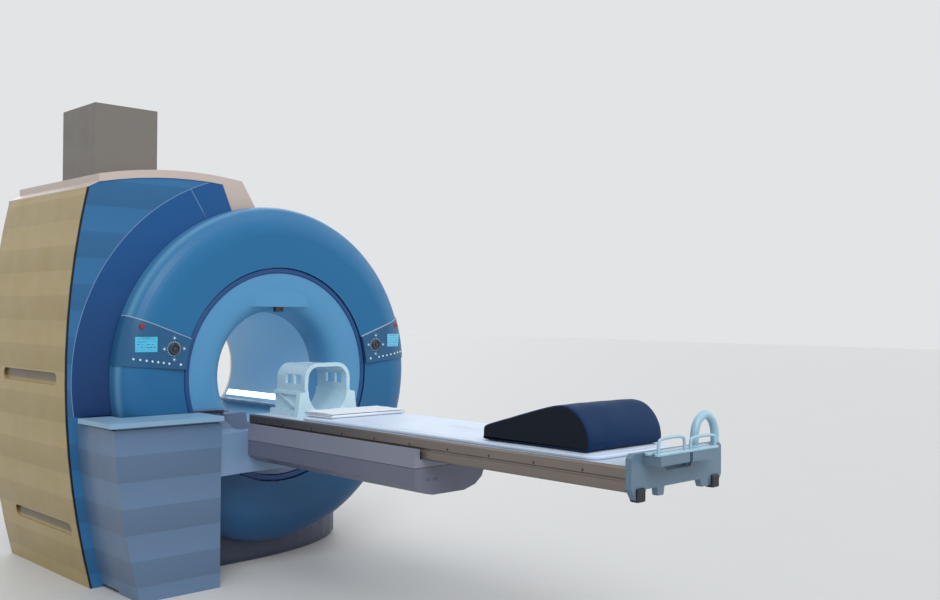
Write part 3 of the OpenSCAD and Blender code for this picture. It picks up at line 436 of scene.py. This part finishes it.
def dress_gantry():
    """Finishes of the covers, the consoles and the bore."""
    dress(ring_finish(), "front_ring")
    dress(fairing_finish(), "drum_fairing")
    dress(shoulder_finish(), "shoulder_panel")
    dress(side_finish(), "side_panel")
    dress(console_finish(), "console_left", "console_right")
    dress(screen_finish(), "console_screens")
    dress(moulded("rim_blue", srgb(38, 74, 128), 0.4, coat=0.0, vary=0.04, specular=0.3), "front_rim")
    dress(moulded("funnel_blue", srgb(80, 144, 188), coat=0.05, vary=0.02, specular=0.35), "front_funnel")
    dress(moulded("insert_grey", srgb(104, 122, 150), 0.42, coat=0.0, vary=0.03),
          "funnel_insert", "bore_rails")
    dress(moulded("bore_white", srgb(156, 206, 236), 0.4, coat=0.0, vary=0.01, specular=0.4), "bore_tube")
    dress(Finish("strip_glow", srgb(226, 246, 255)).glow(srgb(206, 240, 255), 3.0).vary(0.02), "bore_lights")
    dress(moulded("laser_black", srgb(16, 16, 18), 0.2, coat=0.5), "laser_window")
    dress(moulded("rear_pale", srgb(172, 190, 202), 0.32, coat=0.2, vary=0.03), "rear_funnel")
    dress(moulded("cover_white", srgb(188, 190, 190)), "magnet_cover", "rear_ring", "rear_panel")
    dress(moulded("top_ivory", srgb(194, 180, 172)), "top_cover")
    dress(moulded("duct_grey", srgb(114, 109, 104), 0.5, coat=0.0), "duct_cover")
    dress(moulded("plinth_slate", srgb(46, 54, 76), 0.4, coat=0.0), "plinth")
    # The dial's paler edges are a painted highlight on the convex knob
    dress(moulded("dial_black", srgb(30, 38, 46), 0.35).edge_highlight(srgb(90, 100, 110)), "dial_left", "dial_right")
    dress(moulded("key_blue", srgb(58, 108, 144), 0.35, coat=0.1, vary=0.02, specular=0.3),
          *[f"key_{side}_{way}" for side in ("left", "right") for way in ("up", "down", "in", "out")])
    dress(moulded("stop_red", srgb(140, 26, 32), 0.3, coat=0.4), "stop_left", "stop_right")


def dress_table():
    """Finishes of the lift's covers, the table and the head coil."""
    cabinet = moulded("cabinet_grey", srgb(92, 120, 152))
    dress(cabinet.bands(srgb(79, 102, 131), LOW_BAND, dark_first=True), "lift_cabinet")
    dress(moulded("lid_pale", srgb(128, 164, 192), 0.36), "cabinet_lid")
    dress(moulded("arm_grey", srgb(114, 144, 178), 0.4), "lift_arm")
    dress(moulded("beam_grey", srgb(128, 132, 148), 0.4), "table_beam")
    dress(moulded("keel_grey", srgb(100, 104, 122), 0.42), "beam_cover")
    dress(rail_finish(), "side_rails")
    dress(moulded("board_white", srgb(186, 202, 220), 0.4), "table_board")
    dress(moulded("bracket_grey", srgb(94, 120, 140), 0.42, coat=0.0), "foot_bracket")
    dress(moulded("coil_white", srgb(190, 218, 230), 0.3, coat=0.3), "head_coil_base")
    dress(moulded("coil_dome", srgb(182, 210, 224), 0.25, coat=0.4), "head_coil_dome")


def dress_works():
    """Finishes of the magnet and the drives."""
    dress(metal("vessel_steel", srgb(196, 198, 200), 0.32, stretch=(1, 40, 1)),
          "magnet_vessel", "helium_vessel", "quench_pipe")
    dress(metal("copper_coil", srgb(186, 116, 72), 0.38, stretch=(1, 120, 1)), "main_coils")
    dress(moulded("cast_resin", srgb(88, 100, 122), 0.5, coat=0.0), "gradient_coil", "body_coil")
    dress(metal("cast_steel", srgb(92, 96, 100), 0.5),
          "magnet_feet", "lift_carriage", "belt_drive", "lift_motor")
    dress(metal("turned_steel", srgb(186, 188, 192), 0.26, stretch=(1, 1, 90)),
          "lift_column", "lift_spindle", "belt_pulley", "cold_head")


def add_piece(name, points, faces, materials, body, smooth=True):
    """A mesh piece that rides on a body."""
    mesh = bpy.data.meshes.new(name)
    mesh.from_pydata(points, [], faces)
    made = bmesh.new()
    made.from_mesh(mesh)
    bmesh.ops.recalc_face_normals(made, faces=made.faces)
    made.to_mesh(mesh)
    made.free()
    if smooth:
        mesh.shade_smooth()
    for material in materials:
        mesh.materials.append(material)
    piece = bpy.data.objects.new(name, mesh)
    bpy.context.scene.collection.objects.link(piece)
    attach(piece, body)
    return piece


def skin(loops):
    """Faces between closed loops of as many points each, with both ends filled."""
    count = len(loops[0])
    points = [p for loop in loops for p in loop]
    faces = [list(range(count)), list(range((len(loops) - 1) * count, len(loops) * count))]
    for i in range(len(loops) - 1):
        for j in range(count):
            k = (j + 1) % count
            faces.append((i * count + j, i * count + k, (i + 1) * count + k, (i + 1) * count + j))
    return points, faces


def rounded_rectangle(half_x, half_y, r, nx, ny, nc=8):
    """Points of a rounded rectangle about the origin: nx and ny steps along its sides, nc round a corner."""
    r = max(min(r, half_x - 0.0005, half_y - 0.0005), 0.0005)
    corners = [(half_x - r, half_y - r, 0), (r - half_x, half_y - r, 90),
               (r - half_x, r - half_y, 180), (half_x - r, r - half_y, 270)]
    points = []
    for index, (x, y, start) in enumerate(corners):
        for i in range(nc + 1):
            a = radians(start + 90 * i / nc)
            points.append((x + r * cos(a), y + r * sin(a)))
        last = points[-1]
        x2, y2, start2 = corners[(index + 1) % 4]
        a = radians(start2)
        following = (x2 + r * cos(a), y2 + r * sin(a))
        steps = nx if index % 2 == 0 else ny
        for i in range(1, steps):
            t = i / steps
            points.append((last[0] + (following[0] - last[0]) * t, last[1] + (following[1] - last[1]) * t))
    return points


def smooth_line(points, steps=6):
    """Points on a smooth curve through the given ones."""
    line = []
    for i in range(len(points) - 1):
        around = (points[max(i - 1, 0)], points[i], points[i + 1], points[min(i + 2, len(points) - 1)])
        for j in range(steps):
            t = j / steps
            line.append(tuple(0.5 * (2 * b + (c - a) * t + (2 * a - 5 * b + 4 * c - d) * t * t
                                     + (3 * b - a - 3 * c + d) * t ** 3) for a, b, c, d in zip(*around)))
    line.append(tuple(points[-1]))
    return line


def ripple(x, y, z, scale, height):
    return height * noise.noise(Vector((x * scale, y * scale, z * scale)))


def mattress_pad():
    """Thin pad with a soft crown and a welded border."""
    vinyl = moulded("vinyl_pale", srgb(200, 216, 236), 0.42, coat=0.0).weave(0.0014, 0.00012)
    corner_r = 0.06
    border = 0.014
    weld = 0.026
    lo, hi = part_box("mattress")
    cx, cy = (lo.x + hi.x) / 2, (lo.y + hi.y) / 2
    half_x, half_y = (hi.x - lo.x) / 2, (hi.y - lo.y) / 2
    thick = hi.z - lo.z
    # Insets from the outline and shares of the thickness, up the edge and then over the top
    rows = [(0.030, 0.0), (0.005, 0.0), (0.001, 0.15), (0.0, 0.35), (0.0005, 0.55), (0.003, 0.7),
            (0.008, 0.78)]
    inset = border
    while inset < half_x - 0.004:
        crown = 1 - 0.2 * exp(-(inset - border) / 0.02)
        groove = 0.14 * exp(-((inset - weld) / 0.004) ** 2)
        rows.append((inset, crown - groove))
        inset += 0.004 if inset < 0.05 else 0.014
    loops = []
    for inset, level in rows:
        loop = []
        for x, y in rounded_rectangle(half_x - inset, half_y - inset, corner_r - inset, 26, 84):
            z = lo.z + thick * level
            if level > 0.75:
                z -= 0.0012 + ripple(x, y, 0.3, 7, 0.0014) + ripple(x, y, 1.7, 2.2, 0.0012)
            loop.append((cx + x, cy + y, z))
        loops.append(loop)
    piece = add_piece("mattress_pad", *skin(loops), [vinyl.done()], "patient_board")
    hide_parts("mattress")


def fold_line(lo, hi, layers, pitch, thick):
    """Middle line, in y and z, of a cloth folded back and forth with round folds."""
    bend = pitch / 2
    y0, y1 = lo.y + bend + thick / 2, hi.y - bend - thick / 2
    flat_steps = 22
    bend_steps = 8
    line = []
    for layer in range(layers):
        z = lo.z + thick / 2 + pitch * layer
        start, end = (y1, y0) if layer % 2 == 0 else (y0, y1)
        for i in range(flat_steps + 1):
            line.append((start + (end - start) * i / flat_steps, z))
        if layer < layers - 1:
            way = -1 if layer % 2 == 0 else 1
            for i in range(1, bend_steps):
                a = pi * i / bend_steps
                line.append((end + way * bend * sin(a), z + bend * (1 - cos(a))))
    return line


def folded_cloth():
    """A cloth folded in three layers, the upper ones less even than the lowest."""
    cotton = Finish("cloth_white", srgb(222, 232, 244), 0.85, sheen=0.3)
    cotton.vary(0.05, 9.0).weave(0.0011, 0.0003)
    lo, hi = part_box("folded_pad")
    layers = 3
    pitch = (hi.z - lo.z) / (layers + 0.1)
    thick = pitch * 0.78
    line = fold_line(lo, hi, layers, pitch, thick)
    upper = []
    lower = []
    for i, (y, z) in enumerate(line):
        a, b = line[max(i - 1, 0)], line[min(i + 1, len(line) - 1)]
        dy, dz = b[0] - a[0], b[1] - a[1]
        from_end = min(i, len(line) - 1 - i)
        half = thick / 2 * min(1.0, 0.45 + 0.3 * from_end) / hypot(dy, dz)
        upper.append((y - dz * half, z + dy * half))
        lower.append((y + dz * half, z - dy * half))
    profile = upper + lower[::-1]
    loops = []
    across = 40
    for k in range(across + 1):
        u = k / across
        x = lo.x + (hi.x - lo.x) * u
        loop = []
        for y, z in profile:
            level = (z - lo.z) / (hi.z - lo.z)
            shift = level * (0.006 * sin(5 * u) - 0.003) + ripple(x, level, 3, 9, 0.003) * level
            sag = level * (0.002 + abs(ripple(x, y, 5, 12, 0.004)))
            edge = 0.004 * level * noise.noise(Vector((y * 20, level * 4, 8)))
            narrowed = x * (1 - 0.012 * level) + edge
            loop.append((narrowed, min(max(y + shift, lo.y), hi.y), max(z - sag, lo.z)))
        loops.append(loop)
    piece = add_piece("folded_cloth", *skin(loops), [cotton.done()], "patient_board")
    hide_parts("folded_pad")


def wedge_cushion():
    """Knee wedge: tight navy cover with a rounded back; its flat sides get a much darker material as painted
    shade.
    """
    vinyl = moulded("vinyl_navy", srgb(8, 44, 82), 0.52, coat=0.0, vary=0.04, specular=0.1)
    # Painted shade: the flat sides get a much darker material than the top
    side_shade = Finish("wedge_side_shade", srgb(14, 22, 34), 0.7, specular=0.2).vary(0.15, 30.0).weave(0.002, 0.0003)
    lo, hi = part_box("knee_wedge")
    head = hi.y
    # Upper outline, as distance from the head end and height
    top = [(0.0, 0.004), (0.0, 0.02), (0.001, 0.044), (0.005, 0.055), (0.016, 0.0625), (0.05, 0.074),
           (0.14, 0.1), (0.26, 0.1355), (0.36, 0.163), (0.42, 0.173), (0.465, 0.1685), (0.505, 0.150),
           (0.54, 0.118), (0.562, 0.078), (0.571, 0.038), (0.568, 0.014), (0.558, 0.003)]
    profile = smooth_line([(head - y, lo.z + z) for y, z in top])
    foot = profile[-1][0]
    under = 30
    profile += [(foot + (head - 0.004 - foot) * i / under, lo.z) for i in range(1, under)]
    outward = []
    for i in range(len(profile)):
        a, b = profile[i - 1], profile[(i + 1) % len(profile)]
        dy, dz = b[0] - a[0], b[1] - a[1]
        outward.append((dz / hypot(dy, dz), -dy / hypot(dy, dz)))
    half = hi.x
    edge_r = 0.009
    flat = half - edge_r

    def section(x, inset):
        """The outline at x, drawn in by the inset, a little lower towards both sides."""
        loop = []
        for (y, z), (ny, nz) in zip(profile, outward):
            y2, z2 = y - ny * inset, z - nz * inset
            lift = max(z2 - lo.z, 0) / 0.17
            z2 += ripple(x, y2, z2, 14, 0.0012) * lift - 0.002 * lift * (x / half) ** 2
            loop.append((x, y2, max(z2, lo.z)))
        return loop

    turns = [radians(90 * i / 4) for i in range(5)]
    across = 24
    loops = [section(-(flat + edge_r * cos(a)), edge_r * (1 - sin(a))) for a in turns]
    loops += [section(-flat + 2 * flat * i / across, 0) for i in range(1, across)]
    loops += [section(flat + edge_r * cos(a), edge_r * (1 - sin(a))) for a in reversed(turns)]
    materials = [vinyl.weave(0.0016, 0.00015).done(), side_shade.done()]
    piece = add_piece("wedge_cushion", *skin(loops), materials, "patient_board")
    for face in piece.data.polygons:
        is_side = abs(face.normal.x) > 0.95
        face.material_index = 1 if is_side else 0
        face.use_smooth = not is_side
    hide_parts("knee_wedge")


def rack_tube(name, route, radius, material):
    """A round bar of the foot panel, along a smooth route."""
    fine = [Vector(point) for point in smooth_line(route)]
    turns = [2 * pi * k / 14 for k in range(14)]
    side = Vector((0, 1, 0))
    loops = []
    for i, point in enumerate(fine):
        ahead = (fine[min(i + 1, len(fine) - 1)] - fine[max(i - 1, 0)]).normalized()
        side = (side - ahead * side.dot(ahead)).normalized()
        up = ahead.cross(side)
        loops.append([tuple(point + (side * cos(a) + up * sin(a)) * radius) for a in turns])
    piece = add_piece(name, *skin(loops), [material], "table_frame")


def rack_block(name, place, outlines, material):
    """A block of the foot panel, from outlines about the place at several heights over it."""
    loops = [[(place[0] + dx, place[1] + dy, place[2] + height) for dx, dy in outline]
             for height, outline in outlines]
    piece = add_piece(name, *skin(loops), [material], "table_frame", smooth=False)


def foot_rack():
    """Grab arm, slats, cable hoops and rubber bumpers of the panel at the foot end."""
    white = moulded("rack_white", srgb(150, 188, 208), 0.34, coat=0.2).done()
    rubber = Finish("rubber_black", srgb(24, 28, 36), 0.6).vary(0.1, 20.0).orange_peel(300.0).done()
    lo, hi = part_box("foot_bracket")
    top = hi.z
    tray_top = top - 0.006
    panel_y = hi.y - 0.013
    front_y = lo.y + 0.018
    back_y = lo.y + 0.060
    arm = [(0.125, -0.004), (0.128, 0.05), (0.150, 0.092), (0.195, 0.112), (0.240, 0.092), (0.264, 0.05),
           (0.268, -0.004)]
    rack_tube("grab_arm", [(x, panel_y, top + z) for x, z in arm], 0.017, white)
    # Blocks as heights with their insets from the full outline
    bumper = [(height, rounded_rectangle(0.024 - inset, 0.020 - inset, 0.006, 2, 2, 4))
              for height, inset in ((0.0, 0.004), (0.003, 0.0), (0.045, 0.0), (0.050, 0.003))]
    for side, x in (("near", -0.243), ("far", 0.243)):
        rack_block(f"bumper_{side}", (x, panel_y - 0.004, lo.z - 0.002), bumper, rubber)
    slat = [(height, rounded_rectangle(0.197 - inset, 0.014 - inset, 0.012, 8, 2, 5))
            for height, inset in ((-0.0005, 0.0015), (0.0015, 0.0), (0.0075, 0.0), (0.0095, 0.002))]
    for place, y in (("front", front_y), ("back", back_y)):
        rack_block(f"rack_slat_{place}", (-0.04, y, tray_top), slat, white)
    for number, x0, x1, rise in ((1, -0.222, -0.06, 0.06), (2, -0.02, 0.142, 0.05)):
        hoop = [(x0, 0.004), (x0, rise * 0.6), (x0 + 0.02, rise),
                (x1 - 0.02, rise), (x1, rise * 0.6), (x1, 0.004)]
        rack_tube(f"cable_hoop_{number}", [(x, front_y, tray_top + z) for x, z in hoop], 0.006, white)


def key_arrows():
    """A small raised triangle on each arrow key, pointing the way it moves the table."""
    ink = moulded("arrow_pale", srgb(222, 236, 242), 0.4).done()
    reach = 0.0072
    sunk = 0.0005
    proud = 0.0003
    faces = [(0, 1, 2), (3, 4, 5), (0, 1, 4, 3), (1, 2, 5, 4), (2, 0, 3, 5)]
    for side, mirror in (("left", 1), ("right", -1)):
        for way, turn in (("up", 0), ("in", -90), ("down", 180), ("out", 90)):
            key = f"key_{side}_{way}"
            lo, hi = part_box(key)
            cx, cz = (lo.x + hi.x) / 2, (lo.z + hi.z) / 2
            corners = [radians(a + turn * mirror) for a in (90, 210, 330)]
            points = [(cx + reach * cos(a), lo.y + depth, cz + reach * sin(a))
                      for depth in (sunk, -proud) for a in corners]
            piece = add_piece(f"arrow_{side}_{way}", points, faces, [ink], key, smooth=False)


def look_camera():
    """The photograph's camera, from its calibration."""
    yaw, pitch, roll = 0.7709, 0.0116, 0.0073
    place = (-3.264, -5.475, 1.419)
    focal_px = 1022.15
    image_px = 940
    forward = Vector((sin(yaw) * cos(pitch), cos(yaw) * cos(pitch), sin(pitch)))
    right = Vector((cos(yaw), -sin(yaw), 0))
    up = right.cross(forward)
    turned = right * cos(roll) + up * sin(roll)
    upright = up * cos(roll) - right * sin(roll)
    data = bpy.data.cameras.new("camera")
    data.sensor_width = 36
    data.lens = focal_px * data.sensor_width / image_px
    camera = bpy.data.objects.new("camera", data)
    bpy.context.scene.collection.objects.link(camera)
    turn = Matrix((turned, upright, -forward)).transposed().to_4x4()
    camera.matrix_world = Matrix.Translation(place) @ turn
    bpy.context.scene.camera = camera


def sun(name, source, strength, spread):
    """A soft lamp that shines from a direction, with the same strength all over the floor."""
    data = bpy.data.lights.new(name, "SUN")
    data.energy = strength
    data.angle = radians(spread)
    lamp = bpy.data.objects.new(name, data)
    bpy.context.scene.collection.objects.link(lamp)
    lamp.rotation_euler = Vector(source).to_track_quat("Z", "Y").to_euler()


def studio_floor():
    bpy.ops.mesh.primitive_plane_add(size=80)
    floor = bpy.context.object
    floor.name = "floor"
    floor.data.materials.append(Finish("floor_pale", srgb(198, 200, 201), 0.6).vary(0.01).done())


def studio_world():
    """Even light on the object, and a pale backdrop for the camera and for reflections."""
    world = bpy.data.worlds.new("studio")
    world.use_nodes = True
    tree = world.node_tree
    light = tree.nodes["Background"]
    light.inputs["Color"].default_value = (1, 1, 1, 1)
    light.inputs["Strength"].default_value = 0.45
    backdrop = tree.nodes.new("ShaderNodeBackground")
    backdrop.inputs["Color"].default_value = srgb(226, 228, 230)
    backdrop.inputs["Strength"].default_value = 1.0
    path = tree.nodes.new("ShaderNodeLightPath")
    either = tree.nodes.new("ShaderNodeMath")
    either.operation = "MAXIMUM"
    mix = tree.nodes.new("ShaderNodeMixShader")
    tree.links.new(path.outputs["Is Camera Ray"], either.inputs[0])
    tree.links.new(path.outputs["Is Glossy Ray"], either.inputs[1])
    tree.links.new(either.outputs[0], mix.inputs[0])
    tree.links.new(light.outputs[0], mix.inputs[1])
    tree.links.new(backdrop.outputs[0], mix.inputs[2])
    tree.links.new(mix.outputs[0], tree.nodes["World Output"].inputs["Surface"])
    bpy.context.scene.world = world


def studio():
    """Pale floor and backdrop, with soft light from above and all round."""
    sun("key", (-0.5, -0.8, 0.75), 1.5, 35)
    sun("overhead", (0.1, -0.3, 1.0), 0.8, 60)
    sun("fill", (0.9, -0.4, 0.5), 0.6, 60)
    sun("back", (0.3, 0.95, 0.5), 0.6, 60)
    studio_floor()
    studio_world()
    bpy.context.scene.view_settings.view_transform = "Standard"


dress_gantry()
dress_table()
dress_works()
mattress_pad()
folded_cloth()
wedge_cushion()
foot_rack()
key_arrows()
look_camera()
studio()
